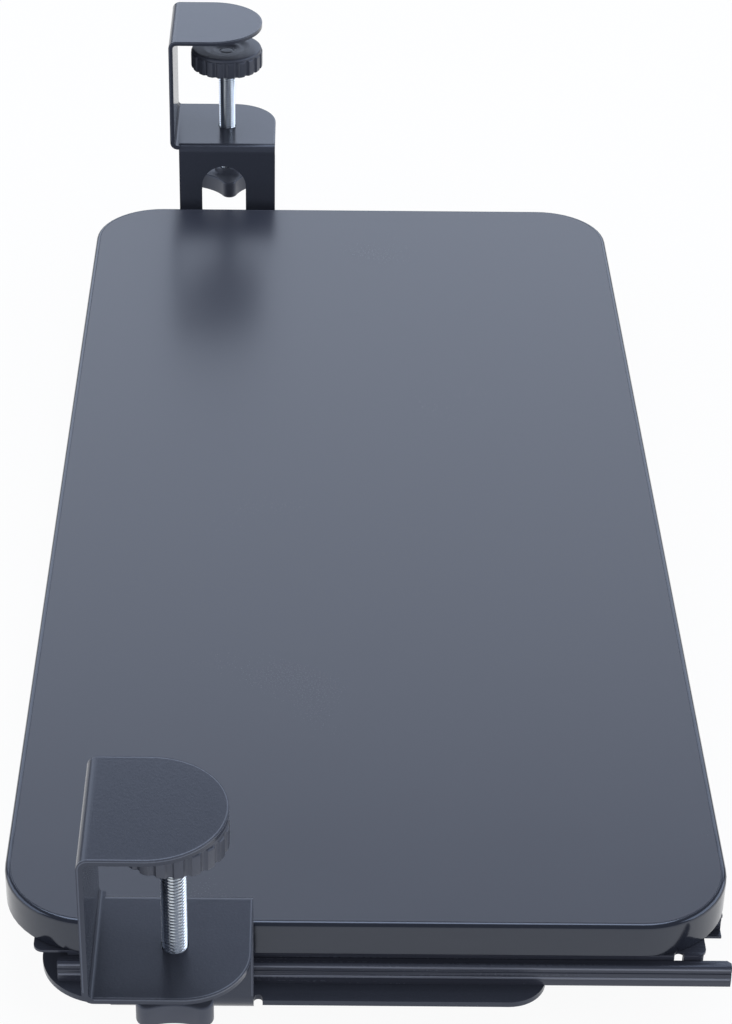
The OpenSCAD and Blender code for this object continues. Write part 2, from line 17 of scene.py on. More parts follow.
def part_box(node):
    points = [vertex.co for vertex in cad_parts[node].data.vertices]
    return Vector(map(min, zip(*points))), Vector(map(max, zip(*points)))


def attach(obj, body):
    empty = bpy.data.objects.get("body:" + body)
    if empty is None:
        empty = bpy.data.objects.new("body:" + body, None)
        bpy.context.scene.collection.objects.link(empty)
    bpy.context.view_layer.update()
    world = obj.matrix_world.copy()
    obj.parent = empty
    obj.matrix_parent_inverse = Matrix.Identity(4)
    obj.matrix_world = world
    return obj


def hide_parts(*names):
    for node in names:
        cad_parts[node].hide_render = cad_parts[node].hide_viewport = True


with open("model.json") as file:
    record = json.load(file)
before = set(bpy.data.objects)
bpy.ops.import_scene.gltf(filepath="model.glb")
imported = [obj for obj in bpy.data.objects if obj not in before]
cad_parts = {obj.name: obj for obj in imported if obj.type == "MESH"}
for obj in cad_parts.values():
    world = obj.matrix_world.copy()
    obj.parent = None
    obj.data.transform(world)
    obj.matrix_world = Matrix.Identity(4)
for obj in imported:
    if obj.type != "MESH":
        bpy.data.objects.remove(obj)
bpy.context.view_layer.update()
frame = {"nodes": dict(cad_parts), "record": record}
nodes = frame["nodes"]
SIDES = {"right": 1.0, "left": -1.0}

# %% [markdown]
# ## Camera
# The photograph looks along the board from one short end, about 33 degrees down,
# through a long lens. A camera can be placed by eye or made to track the object, but
# then the board's edges never quite meet the photograph's. So its place was fitted to
# the board's outline and both clamps, and is written as an eye point, a pitch, a roll,
# a focal length in pixels and the column of pixels where the lens points.

# %% Camera
PHOTO_W, PHOTO_H = 732, 1024
EYE = Vector((1.1512, -0.0280, 0.7370))
PITCH, ROLL = math.radians(32.96), math.radians(-0.46295)
FOCAL_PX, AXIS_X = 2715.4, 301.2
SENSOR_W, CLIP_START = 36.0, 0.01


def aim_camera():
    """Axes: forward leans down from -X by the pitch, and right (+Y) and down turn about it by the roll."""
    forward = Vector((-math.cos(PITCH), 0, -math.sin(PITCH)))
    level_right = Vector((0, 1, 0))
    level_down = forward.cross(level_right)
    right = level_right * math.cos(ROLL) + level_down * math.sin(ROLL)
    down = level_down * math.cos(ROLL) - level_right * math.sin(ROLL)
    lens = bpy.data.cameras.new("photo_camera")
    lens.sensor_width = SENSOR_W
    lens.lens = FOCAL_PX * SENSOR_W / PHOTO_H
    lens.shift_x = (PHOTO_W / 2 - AXIS_X) / PHOTO_H
    lens.clip_start = CLIP_START
    eye = bpy.data.objects.new("photo_camera", lens)
    eye.matrix_world = Matrix.Translation(EYE) @ Matrix((right, -down, -forward)).transposed().to_4x4()
    bpy.context.scene.collection.objects.link(eye)
    bpy.context.scene.camera = eye
    return lens


lens = aim_camera()
print("lens", round(lens.lens, 2), "mm, shift", round(lens.shift_x, 4))

# %% [markdown]
# ## Shader sums
# A finish is a small sum of noises. It could be wired by hand in the node editor, or
# node by node in Python, but `0.3 + 0.1 * cloud` is easier to read than either. So one
# class wraps a socket and lets Python's operators add the Math nodes. Everything that
# isn't a sum comes from its method `node`.


# %% A socket that can be used in sums
class Wire:
    """One shader value. Sums and products add Math nodes, and node() adds any other node."""

    def __init__(self, tree, socket=None):
        self.tree = tree
        self.socket = socket

    def node(self, kind, settings=None, sockets=None, out=0):
        """Adds a node: settings first, then the values or wires of its sockets. Returns one output."""
        made = self.tree.nodes.new("ShaderNode" + kind)
        for key, value in (settings or {}).items():
            setattr(made, key, value)
        for key, value in (sockets or {}).items():
            if isinstance(value, Wire):
                self.tree.links.new(value.socket, made.inputs[key])
            else:
                made.inputs[key].default_value = value
        return Wire(self.tree, made.outputs[out]) if made.outputs else None

    def maths(self, operation, other):
        """A Math node of this value and another wire or a number."""
        return self.node("Math", {"operation": operation}, {0: self, 1: other})

    def __add__(self, other):
        return self.maths("ADD", other)

    def __mul__(self, other):
        return self.maths("MULTIPLY", other)

    __radd__, __rmul__ = __add__, __mul__


# %% [markdown]
# ## Steps of a finish
# Every finish takes the same few steps: an empty material, a noise or two, a colour
# and a bump that follow them, and one Principled shader at the end. Image textures
# could show the same grain, but they need files and leave a seam on each round piece.
# Noise on the object's own coordinates has neither, and each step is a short function.

# %% Steps that all finishes share
# A Mix node's colour sockets by number: the two inputs and the output.
MIX_DARK, MIX_LIGHT, MIX_COLOUR = 6, 7, 2


def empty_material(name):
    """A material without nodes, and a wire to add them by."""
    material = bpy.data.materials.new(name)
    material.use_nodes = True
    material.node_tree.nodes.clear()
    return material, Wire(material.node_tree)


def new_finish(name):
    """A material that so far has only its Object coordinates."""
    material, start = empty_material(name)
    return material, start.node("TexCoord", out="Object")


def noise(at, per_metre, detail, stretch=(1, 1, 1)):
    """A noise of about per_metre cells a metre, drawn out along an axis whose stretch is below 1."""
    placed = at.node("Mapping", None, {"Vector": at, "Scale": stretch})
    return at.node("TexNoise", None, {"Vector": placed, "Scale": per_metre, "Detail": detail})


def tint(at, share, dark, light):
    """A colour that goes from dark to light with a wire's value."""
    colours = {"Factor": share, MIX_DARK: (*dark, 1), MIX_LIGHT: (*light, 1)}
    return at.node("Mix", {"data_type": "RGBA"}, colours, out=MIX_COLOUR)


def relief(at, height, strength, depth):
    """A bump that rises with a wire's value, of the given depth in metres, mixed in by its strength."""
    return at.node("Bump", None, {"Height": height, "Strength": strength, "Distance": depth}, out="Normal")


def surface(material, at, sockets):
    """Ends a finish with one Principled shader."""
    shader = at.node("BsdfPrincipled", None, sockets, out="BSDF")
    at.node("OutputMaterial", None, {"Surface": shader})
    return material


# %% [markdown]
# ## Finishes
# The board's laminate is a satin dark slate, pressed paper under a clear skin, which
# mirrors the bright room softly. One flat colour and gloss would do from afar. Here a
# fine pearl grain breaks the gloss, and broad faint clouds keep the large face from
# looking painted in one stroke.


# %% Laminate
def laminate_satin():
    """The colour follows the clouds, and the gloss follows the clouds and the pearl grain."""
    material, at = new_finish("laminate_satin")
    pearl = noise(at, per_metre=1400, detail=3)
    cloud = noise(at, per_metre=9, detail=2)
    return surface(material, at, {
        "Base Color": tint(at, cloud, (0.036, 0.038, 0.050), (0.042, 0.045, 0.058)),
        "Roughness": 0.22 + 0.05 * cloud + 0.03 * pearl,
        "Normal": relief(at, pearl, strength=0.02, depth=0.0001),
    })


laminate = laminate_satin()
print("made", laminate.name)

# %% [markdown]
# The edge band is glossy plastic, glued on hot. Such a band never lies quite flat, and
# its mirror images waver. Moving the mesh could do that, but the waves are far too low
# to see in outline, so a slow wave in the normal bends what the band mirrors.

# %% Edge band
# The cool tint of the room's light, painted into the gloss of the paints and plastics.
PAINTED_COOL_TINT = (0.84, 0.92, 1.10, 1)


def band_gloss():
    """Colour and gloss follow a fine noise, and the normal follows a slow wave."""
    material, at = new_finish("band_gloss")
    wave = noise(at, per_metre=45, detail=1)
    fine = noise(at, per_metre=600, detail=2)
    return surface(material, at, {
        "Base Color": tint(at, fine, (0.011, 0.011, 0.015), (0.015, 0.016, 0.020)),
        "Roughness": 0.10 + 0.06 * fine,
        "IOR": 1.62,
        "Specular Tint": PAINTED_COOL_TINT,
        "Normal": relief(at, wave, strength=0.20, depth=0.0015),
    })


band = band_gloss()
print("made", band.name)

# %% [markdown]
# The brackets are powder coated: dry paint melts into a skin with a fine orange peel
# of about a millimetre and a grain inside it. Displacing the sheet would cost many
# faces for a relief that only the gloss shows, so it is a bump. A lighter copy of the
# coat, for the cut edges, is a painted highlight along them.


# %% Powder coat
def powder_coat(name, dark, light):
    """Colour and gloss follow the grain, and the normal follows the peel with some grain on it."""
    material, at = new_finish(name)
    peel = noise(at, per_metre=900, detail=3)
    grain = noise(at, per_metre=2600, detail=2)
    return surface(material, at, {
        "Base Color": tint(at, grain, dark, light),
        "Roughness": 0.14 + 0.08 * grain,
        "IOR": 1.40,
        "Specular Tint": PAINTED_COOL_TINT,
        "Normal": relief(at, peel + 0.4 * grain, strength=0.12, depth=0.0003),
    })


coat = powder_coat("powder_coat", (0.034, 0.036, 0.044), (0.050, 0.052, 0.063))
# The lighter copy paints the highlight that the sheet edges catch.
edge_highlight_coat = powder_coat("thin_coat", (0.075, 0.078, 0.092), (0.110, 0.114, 0.132))
print("made", coat.name, edge_highlight_coat.name)

# %% [markdown]
# The rails are rolled from strip and dipped in gloss black. Rolling leaves long faint
# lines along the rail. A picture of brushed metal could show them, but a noise that is
# drawn out along Y runs the whole length without a repeat. The lighter copy, for the
# ribs, is a painted highlight.


# %% Rail lacquer
def rail_lacquer(name, dark, light):
    """Colour, gloss and normal follow lines along Y, with a fine noise in the gloss."""
    material, at = new_finish(name)
    lines = noise(at, per_metre=900, detail=3, stretch=(1, 0.01, 1))
    fine = noise(at, per_metre=500, detail=2)
    return surface(material, at, {
        "Base Color": tint(at, lines, dark, light),
        "Roughness": 0.16 + 0.14 * lines + 0.05 * fine,
        "Specular Tint": PAINTED_COOL_TINT,
        "Normal": relief(at, lines, strength=0.50, depth=0.0005),
    })


lacquer = rail_lacquer("rail_lacquer", (0.024, 0.024, 0.030), (0.046, 0.047, 0.057))
# The lighter copy paints the highlight lines along the ribs.
thin_lacquer = rail_lacquer("thin_lacquer", (0.06, 0.06, 0.07), (0.22, 0.22, 0.24))
print("made", lacquer.name, thin_lacquer.name)

# %% [markdown]
# Zinc plate on the screws is a cool grey metal with a faint mottle. The hammered ends
# of the clamp screws are darker and duller, a painted shade of the pad's recess under
# the jaw, and the balls are polished. Three separate materials would repeat one
# another, so one function takes the colours and the gloss.


# %% Metals
def plated(name, dark, light, rough_from, rough_span):
    """Colour and gloss follow the mottle, and the normal follows a finer noise."""
    material, at = new_finish(name)
    mottle = noise(at, per_metre=350, detail=3)
    fine = noise(at, per_metre=1800, detail=2)
    return surface(material, at, {
        "Base Color": tint(at, mottle, dark, light),
        "Metallic": 1.0,
        "Roughness": rough_from + rough_span * mottle,
        "Normal": relief(at, fine, strength=0.06, depth=0.0001),
    })


zinc = plated("zinc_plate", (0.68, 0.72, 0.76), (0.82, 0.85, 0.88), 0.14, 0.12)
# The darker, duller metal is a painted shade for the screw ends in the pads' recesses.
painted_shade_metal = plated("burnished_end", (0.09, 0.095, 0.105), (0.15, 0.155, 0.17), 0.35, 0.20)
bright = plated("polished_ball", (0.70, 0.71, 0.73), (0.82, 0.83, 0.85), 0.05, 0.04)
print("made", zinc.name, painted_shade_metal.name, bright.name)

# %% [markdown]
# The pads and knobs are moulded from black plastic in a spark-eroded tool, which leaves
# a fine even tooth. It is too fine to model, so a noise roughens the gloss and the
# normal. The board's core shows nowhere from outside, but it is fibreboard all the
# same, and its fibres lie flat, so its noise is pressed together along Z.


# %% Plastic and fibreboard
def moulded_plastic():
    """The colour follows a slow cloud, and gloss and normal follow the tooth."""
    material, at = new_finish("moulded_plastic")
    tooth = noise(at, per_metre=3200, detail=2)
    cloud = noise(at, per_metre=120, detail=2)
    return surface(material, at, {
        "Base Color": tint(at, cloud, (0.048, 0.049, 0.058), (0.062, 0.063, 0.074)),
        "Roughness": 0.30 + 0.16 * tooth,
        "Specular Tint": PAINTED_COOL_TINT,
        "Normal": relief(at, tooth, strength=0.15, depth=0.0001),
    })


def fibre_core():
    """Colour, gloss and normal all follow the fibres."""
    material, at = new_finish("fibre_core")
    fibres = noise(at, per_metre=700, detail=4, stretch=(1, 0.3, 3))
    return surface(material, at, {
        "Base Color": tint(at, fibres, (0.24, 0.16, 0.10), (0.44, 0.33, 0.22)),
        "Roughness": 0.7 + 0.2 * fibres,
        "Normal": relief(at, fibres, strength=0.4, depth=0.0003),
    })


plastic = moulded_plastic()
fibre = fibre_core()
print("made", plastic.name, fibre.name)

# %% [markdown]
# ## Dressing the solids
# Each solid's name ends in what it is: a bracket, a rail, a knob. Materials could be
# handed out one by one, but a table by that last word dresses both sides alike, and a
# word that it doesn't know stops the script instead of leaving a solid grey.

# %% Dress the solids
FINISH_OF = {
    "core": fibre, "laminate": laminate, "band": band, "bracket": coat, "rail": lacquer,
    "nut": zinc, "screw": zinc, "screws": zinc, "cage": zinc, "balls": bright,
    "pad": plastic, "knob": plastic,
}
for name, solid in nodes.items():
    solid.data.materials.clear()
    solid.data.materials.append(FINISH_OF[name.split("_")[-1]])
print("dressed", len(nodes), "solids")

# %% [markdown]
# ## Surfaces from grids
# A new piece is a grid of points: its rows follow a profile and its columns go round.
# Modifiers could spin or sweep a profile as well, but a formula can also bend the
# radius from angle to angle, which threads and flutes need. One helper turns a grid
# into a closed mesh, with a fan of triangles at each open end, so that no hole or
# doubled point is left.

# %% Grid to mesh
SMOOTH_UP_TO = math.radians(40)


def mesh_piece(name, verts, quads, tris, finish):
    """Fills a mesh from arrays of points, quads and triangles."""
    mesh = bpy.data.meshes.new(name)
    corners = np.concatenate([quads.ravel(), tris.ravel()]).astype(np.int32)
    starts = np.concatenate([np.arange(len(quads)) * 4, len(quads) * 4 + np.arange(len(tris)) * 3])
    mesh.vertices.add(len(verts))
    mesh.vertices.foreach_set("co", verts.astype(np.float32).ravel())
    mesh.loops.add(len(corners))
    mesh.loops.foreach_set("vertex_index", corners)
    mesh.polygons.add(len(starts))
    mesh.polygons.foreach_set("loop_start", starts.astype(np.int32))
    mesh.update(calc_edges=True)
    mesh.validate()
    mesh.materials.append(finish)
    mesh.polygons.foreach_set("use_smooth", np.ones(len(starts), bool))
    mesh.set_sharp_from_angle(angle=SMOOTH_UP_TO)
    piece = bpy.data.objects.new(name, mesh)
    bpy.context.scene.collection.objects.link(piece)
    return piece


def grid_piece(name, points, finish, loop=False):
    """Quads between neighbouring points of a (rows, columns, 3) grid that closes round its columns.
    The rows close on themselves if loop, and otherwise each end gets a fan to its middle."""
    rows, columns, _ = points.shape
    steps = rows if loop else rows - 1
    i, j = np.meshgrid(np.arange(steps), np.arange(columns), indexing="ij")
    here, above, after = i * columns, (i + 1) % rows * columns, (j + 1) % columns
    quads = np.stack([here + j, here + after, above + after, above + j], -1).reshape(-1, 4)
    verts, tris = points.reshape(-1, 3), np.zeros((0, 3), int)
    if not loop:
        verts = np.vstack([verts, points[0].mean(0), points[-1].mean(0)])
        ring, last, end = np.arange(columns), (rows - 1) * columns, rows * columns
        onward = (ring + 1) % columns
        tris = np.vstack([np.stack([onward, ring, np.full(columns, end)], -1),
                          np.stack([last + ring, last + onward, np.full(columns, end + 1)], -1)])
    return mesh_piece(name, verts, quads, tris, finish)


def turned_piece(name, x, y, r, z, angle, finish, loop=False):
    """Point = (x + r cos a, y + r sin a, z), with one row for each height and one column for each angle."""
    points = np.broadcast_arrays(x + r * np.cos(angle), y + r * np.sin(angle), z)
    return grid_piece(name, np.stack(points, -1), finish, loop)


def all_round(columns):
    """Evenly spaced angles of one turn, as one row."""
    return np.linspace(0, 2 * np.pi, columns, endpoint=False)[None, :]


def middle_of(node):
    """Middle of a node's box in plan, and its lowest and highest Z."""
    low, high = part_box(node)
    return (low.x + high.x) / 2, (low.y + high.y) / 2, low.z, high.z


# %% [markdown]
# ## Clamp screws
# The screw is M10 with a 1.5 mm pitch. A Screw modifier could wind the thread, but it
# would end in a blunt step. Here the thread is one surface: the radius at height z and
# angle a depends only on z / pitch - a / 2 pi, which makes a right-hand helix, and it
# sinks to the root at both ends. A piece of its own, the neck and the hammered end,
# holds the pad above the thread.

# %% Clamp screws with a real thread
THREAD_PITCH, CREST_R, ROOT_R = 0.0015, 0.00498, 0.00410
FLANK_SLOPE, ROOT_FLAT = 1.45, 0.20
THREAD_COLUMNS, ROWS_A_TURN = 48, 8
RUN_OUT, ROOT_COLLAR, PAD_PLAY = 0.0012, 0.0004, 0.00005
NECK_R, NECK_FOOT = 0.0030, 0.0002
PEEN_R, PEEN_T, PEEN_EDGE = 0.0042, 0.0014, 0.0005
CROWN_DROP, CROWN_OUT, CROWN_IN = 0.0001, 0.9, 0.6


def threaded_screw(side):
    """Radius = root + (crest - root) * a flattened triangle wave of z / pitch - angle / 2 pi."""
    x, y, bottom, top = middle_of(f"{side}_clamp_screw")
    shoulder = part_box(f"{side}_pressure_pad")[0].z - PAD_PLAY
    thread_top = shoulder - ROOT_COLLAR
    z = np.arange(bottom, thread_top, THREAD_PITCH / ROWS_A_TURN)[:, None]
    angle = all_round(THREAD_COLUMNS)
    wave = np.abs(2 * ((z / THREAD_PITCH - angle / (2 * np.pi)) % 1.0) - 1)
    lift = np.clip(FLANK_SLOPE * wave - ROOT_FLAT, 0, 1)
    fade = np.clip(np.minimum(z - bottom, thread_top - z) / RUN_OUT, 0, 1)
    r = np.vstack([ROOT_R + (CREST_R - ROOT_R) * lift * fade, np.full((2, THREAD_COLUMNS), ROOT_R)])
    z = np.vstack([z, [[shoulder - ROOT_COLLAR / 2], [shoulder]]])
    end = np.array([
        [NECK_R, shoulder], [NECK_R, shoulder + NECK_FOOT], [NECK_R, top - PEEN_T],
        [PEEN_R, top - PEEN_T], [PEEN_R, top - PEEN_EDGE],
        [CROWN_OUT * PEEN_R, top - CROWN_DROP], [CROWN_IN * PEEN_R, top],
    ])
    # The screw's end gets the darker metal, a painted shade in the pad's recess.
    pieces = [turned_piece(f"{side}_threaded_screw", x, y, r, z, angle, zinc),
              turned_piece(f"{side}_screw_end", x, y, end[:, :1], end[:, 1:], angle, painted_shade_metal)]
    for piece in pieces:
        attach(piece, f"{side}_screw")
        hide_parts(f"{side}_clamp_screw")
    return pieces


for side in SIDES:
    for made in threaded_screw(side):
        print(made.name, len(made.data.polygons), "faces")

# %% [markdown]
# ## Pressure pads
# A pad is a moulded disc with shallow flutes for the fingers. The ribs between them
# round off into a smooth ring under the rim, and the top is a soft dish with a funnel
# in its middle, where the screw's end shows. Cutting the flutes one by one would leave
# hard edges. Here one profile goes round, and the flutes and the ring pull its outer
# points inwards.

# %% Fluted pads
PAD_R, PAD_EDGE, SOLE_RINGS = 0.0215, 0.0012, (0.010, 0.016)
FLUTES, COLUMNS_A_FLUTE, FLUTE_DEPTH, FLUTE_START, FLUTE_POWER = 20, 12, 0.0011, 0.05, 0.7
RING_DEPTH, RING_LOW, SHOULDER = 0.0007, 0.0030, 0.0010
WALL_ROWS, WALL_MORE = 11, 0.0002
RIM_W, RIM_BLEND = 0.0028, 0.0016
DISH_R, DISH_DEPTH, FUNNEL_R, FUNNEL_DEPTH = 0.0148, 0.0012, 0.009, 0.0012
RECESS_R, RECESS_DEPTH = 0.0043, 0.0026


def rounded_step(r0, z0, r1, z1, count=6):
    """A quarter round from (r0, z0), where it is upright, to (r1, z1), where it is level."""
    t = np.linspace(0, np.pi / 2, count)
    return np.stack([r1 + (r0 - r1) * np.cos(t), z0 + (z1 - z0) * np.sin(t)], -1)


def soft_step(r0, z0, r1, z1, count=9):
    """Half a cosine wave from (r0, z0) to (r1, z1), level at both ends."""
    t = np.linspace(0, 1, count)
    return np.stack([r0 + (r1 - r0) * t, z0 + (z1 - z0) * (1 - np.cos(np.pi * t)) / 2], -1)


def pad_profile(height):
    """Radius and height of each row: sole, rounded edge, wall, rounded rim, dish, funnel and recess."""
    bore, dish_floor = NECK_R + PAD_PLAY, height - DISH_DEPTH
    recess_floor = dish_floor - RECESS_DEPTH
    wall = height - np.linspace(RING_LOW + WALL_MORE, RING_LOW - SHOULDER - WALL_MORE, WALL_ROWS)
    return np.vstack([
        [[bore, 0], [SOLE_RINGS[0], 0], [SOLE_RINGS[1], 0]],
        rounded_step(PAD_R, PAD_EDGE, PAD_R - PAD_EDGE, 0.0)[::-1],
        np.stack([np.full(WALL_ROWS, PAD_R), wall], -1),
        rounded_step(PAD_R, height - PAD_EDGE, PAD_R - PAD_EDGE, height),
        [[PAD_R - RIM_W, height]],
        soft_step(DISH_R, height, FUNNEL_R, dish_floor),
        soft_step(FUNNEL_R, dish_floor, RECESS_R, dish_floor - FUNNEL_DEPTH)[1:],
        [[RECESS_R, recess_floor], [bore, recess_floor]],
    ])


def fluted_pad(side):
    """Radius = profile - flute depth * flute(angle) on the wall, eased to profile - ring depth above it."""
    x, y, low, high = middle_of(f"{side}_pressure_pad")
    height = high - low
    profile = pad_profile(height)
    profile_r, profile_z = profile[:, :1], profile[:, 1:]
    angle = all_round(FLUTES * COLUMNS_A_FLUTE)
    flute = np.clip((np.cos(FLUTES * angle) - FLUTE_START) / (1 - FLUTE_START), 0, 1) ** FLUTE_POWER
    reach = np.clip((profile_r - (PAD_R - RIM_W)) / RIM_BLEND, 0, 1)
    climb = np.clip((profile_z - (height - RING_LOW)) / SHOULDER, 0, 1)
    ring = 1 - np.sqrt(1 - climb ** 2)
    r = profile_r - reach * ((1 - ring) * FLUTE_DEPTH * flute + ring * RING_DEPTH)
    piece = turned_piece(f"{side}_fluted_pad", x, y, r, low + profile_z, angle, plastic, loop=True)
    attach(piece, f"{side}_pad")
    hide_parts(f"{side}_pressure_pad")
    return piece


for side in SIDES:
    made = fluted_pad(side)
    print(made.name, len(made.data.polygons), "faces")

# %% [markdown]
# ## Star knobs
# A knob is a moulded star with four round lobes and hollow flanks between them, and a
# collar round the screw. Four discs could be joined and cut for it, but a Bevel would
# then have to round every seam. Here the outline's radius at each angle is the far
# crossing of a ray with a lobe's circle, or the near crossing with a flank's, and the
# edges are rounded by moving the outline inwards along its own normal.

# %% Star knobs
KNOB_W, KNOB_H, LOBE_R, WAIST_DEPTH, KNOB_EDGE = 0.030, 0.010, 0.0046, 0.0018, 0.0010
COLLAR_R, COLLAR_H, COLLAR_EDGE, COLLAR_FOOT = 0.008, 0.0035, 0.0005, 0.0006
BORE_R, BORE_FLOOR, UNDER_RINGS = CREST_R + 0.0001, 0.0022, (0.004, 0.008)
KNOB_COLUMNS, EDGE_ROWS = 192, 7
KNOB_TURNS = {"right": 0.0, "left": math.radians(50)}


def star_outline(angle):
    """Radius of the four-lobed outline, with lobes on the diagonals, at each angle. A flank's circle
    touches the two lobes beside it, and its nearest point to the middle is the waist."""
    lobe_at, waist = KNOB_W / 2 - LOBE_R, KNOB_W / 2 - WAIST_DEPTH
    hollow = (lobe_at ** 2 + (waist - lobe_at) ** 2 - LOBE_R ** 2) / (2 * (LOBE_R - waist + lobe_at))
    far = waist + hollow
    quarter = (angle + np.pi / 4) % (np.pi / 2) - np.pi / 4
    off = np.pi / 4 - np.abs(quarter)
    centre = lobe_at * math.sqrt(2)
    touch = math.atan2(lobe_at * hollow, waist * LOBE_R + hollow * (LOBE_R + lobe_at))
    lobe = centre * np.cos(off) + np.sqrt(np.maximum(LOBE_R ** 2 - (centre * np.sin(off)) ** 2, 0))
    flank = far * np.cos(quarter) - np.sqrt(np.maximum(hollow ** 2 - (far * np.sin(quarter)) ** 2, 0))
    return np.where(np.abs(quarter) > touch, lobe, flank)


def knob_rows():
    """Inset, height, circle radius and share of the circle, row by row from the underside to the bore."""
    bend = np.linspace(0, np.pi / 2, EDGE_ROWS)
    outward, inward, star = KNOB_EDGE * (1 - np.sin(bend)), KNOB_EDGE * (1 - np.cos(bend)), 0 * bend
    top = KNOB_H + COLLAR_H
    return np.vstack([
        [[0.0, 0.0, r, 1.0] for r in UNDER_RINGS],
        np.stack([outward, inward, star, star], -1),
        np.stack([inward, KNOB_H - outward, star, star], -1),
        [[0.0, KNOB_H, COLLAR_R + COLLAR_FOOT, 1.0],
         [0.0, KNOB_H + 2 * COLLAR_FOOT / 3, COLLAR_R + COLLAR_FOOT / 6, 1.0],
         [0.0, top - COLLAR_EDGE, COLLAR_R, 1.0],
         [0.0, top, COLLAR_R - COLLAR_EDGE, 1.0],
         [0.0, top, BORE_R, 1.0],
         [0.0, BORE_FLOOR, BORE_R, 1.0]],
    ])


def star_knob(side):
    """Outline moved inwards by each row's inset along its normal, and blended to a circle for the collar."""
    x, y, low, _ = middle_of(f"{side}_star_knob")
    angle = all_round(KNOB_COLUMNS)[0]
    ring = np.stack([np.cos(angle), np.sin(angle)], -1)
    outline = star_outline(angle)[:, None] * ring
    along = np.roll(outline, -1, 0) - np.roll(outline, 1, 0)
    normal = np.stack([along[:, 1], -along[:, 0]], -1) / np.linalg.norm(along, axis=1)[:, None]
    inset, height, circle, share = knob_rows().T[:, :, None, None]
    plan = (1 - share) * (outline - inset * normal) + share * circle * ring
    cos, sin = math.cos(KNOB_TURNS[side]), math.sin(KNOB_TURNS[side])
    turned = plan @ np.array([[cos, sin], [-sin, cos]]) + [x, y]
    z = np.broadcast_to(low + height, turned.shape[:2] + (1,))
    piece = grid_piece(f"{side}_moulded_knob", np.concatenate([turned, z], -1), plastic)
    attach(piece, f"{side}_screw")
    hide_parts(f"{side}_star_knob")
    return piece


for side in SIDES:
    made = star_knob(side)
    print(made.name, len(made.data.polygons), "faces")

# %% [markdown]
# ## Driven screws
# Countersunk screws hold the fixed rails to the brackets, and pan-head screws hold the
# moving rails to the board. Each has a cross recess in its head. A Boolean could cut
# it, but would leave long thin faces, so the head's grid is pressed down inside a
# cross, and the recess is real geometry.

# %% Cross-recessed screws
SUNK_HEAD_R, SUNK_LAND, SUNK_CONE, SUNK_SHANK_R, SUNK_L = 0.00375, 0.00015, 0.00185, 0.0020, 0.0050
PAN_HEAD_R, PAN_HEAD_H, PAN_DOME, PAN_SHANK_R, PAN_SHANK_L = 0.0037, 0.0022, 0.0005, 0.0019, 0.011
CHAMFER, SEAT_ROUND, POINT_R, POINT_L = 0.0003, 0.0002, 0.0004, 0.001
# Radius and height from the face of the head, row by row from its rim to the screw's tip.
PLATE_SCREW = np.array([
    [SUNK_HEAD_R, 0.0], [SUNK_HEAD_R - SUNK_LAND / 3, -SUNK_LAND], [SUNK_SHANK_R, -SUNK_CONE],
    [SUNK_SHANK_R, CHAMFER - SUNK_L], [SUNK_SHANK_R - CHAMFER, -SUNK_L],
])
BOARD_SCREW = np.array([
    [PAN_HEAD_R, PAN_DOME], [PAN_HEAD_R, PAN_HEAD_H - PAN_DOME], [PAN_HEAD_R - SEAT_ROUND, PAN_HEAD_H],
    [PAN_SHANK_R, PAN_HEAD_H], [PAN_SHANK_R, PAN_HEAD_H + PAN_SHANK_L - POINT_L],
    [POINT_R, PAN_HEAD_H + PAN_SHANK_L],
])
CROSS_HALF, CROSS_ARM, CROSS_DEPTH = 0.00045, 0.0021, 0.0014
CROSS_SIDE, CROSS_END = 0.0001, 0.0004
HEAD_ROWS, HEAD_COLUMNS, HEAD_ROOM = 26, 64, 0.0001
SCREW_GAP = 0.01


def cross_dip(x, y):
    """1 inside a cross, falling to 0 over a tenth of a millimetre beside each bar and more at its ends."""
    def bar(across, along):
        return (np.clip((CROSS_HALF - np.abs(across)) / CROSS_SIDE, 0, 1)
                * np.clip((CROSS_ARM - np.abs(along)) / CROSS_END, 0, 1))
    return np.maximum(bar(x, y), bar(y, x))


def group_middles(node):
    """Middles along Y of the separate screws in a node, from the gaps between its points."""
    mesh = nodes[node].data
    points = np.zeros(len(mesh.vertices) * 3)
    mesh.vertices.foreach_get("co", points)
    y = np.unique(np.round(points.reshape(-1, 3)[:, 1], 5))
    groups = np.split(y, np.where(np.diff(y) > SCREW_GAP)[0] + 1)
    return [(group[0] + group[-1]) / 2 for group in groups]


def driven_screws(node, body, profile, face, into):
    """Height = rim height * (r / rim radius) squared - recess depth * cross over the head, from its middle
    to its rim, and then the profile's own. The recess goes down (into = 1) or up (into = -1), and the
    rows of a screw that points down are turned round, so that its faces point outwards."""
    x = middle_of(node)[0]
    rim_r, rim_z = profile[0]
    angle = all_round(HEAD_COLUMNS)
    head_r = np.linspace(HEAD_ROOM, rim_r - HEAD_ROOM, HEAD_ROWS)[:, None]
    dip = cross_dip(head_r * np.cos(angle), head_r * np.sin(angle))
    head_z = rim_z * (head_r / rim_r) ** 2 - into * CROSS_DEPTH * dip
    r = np.vstack([head_r, profile[:, :1]])
    z = face + np.vstack([head_z, np.repeat(profile[:, 1:], HEAD_COLUMNS, 1)])
    if into > 0:
        r, z = r[::-1], z[::-1]
    pieces = [turned_piece(f"{node}_{k}", x, y, r, z, angle, zinc) for k, y in enumerate(group_middles(node))]
    for piece in pieces:
        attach(piece, body)
        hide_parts(node)
    return pieces


for side in SIDES:
    made = driven_screws(f"{side}_plate_screws", "desk_clamps", PLATE_SCREW,
                         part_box(f"{side}_plate_screws")[1].z, 1.0)
    made += driven_screws(f"{side}_board_screws", "tray", BOARD_SCREW,
                          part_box(f"{side}_board_screws")[0].z, -1.0)
    print(side, len(made), "driven screws")
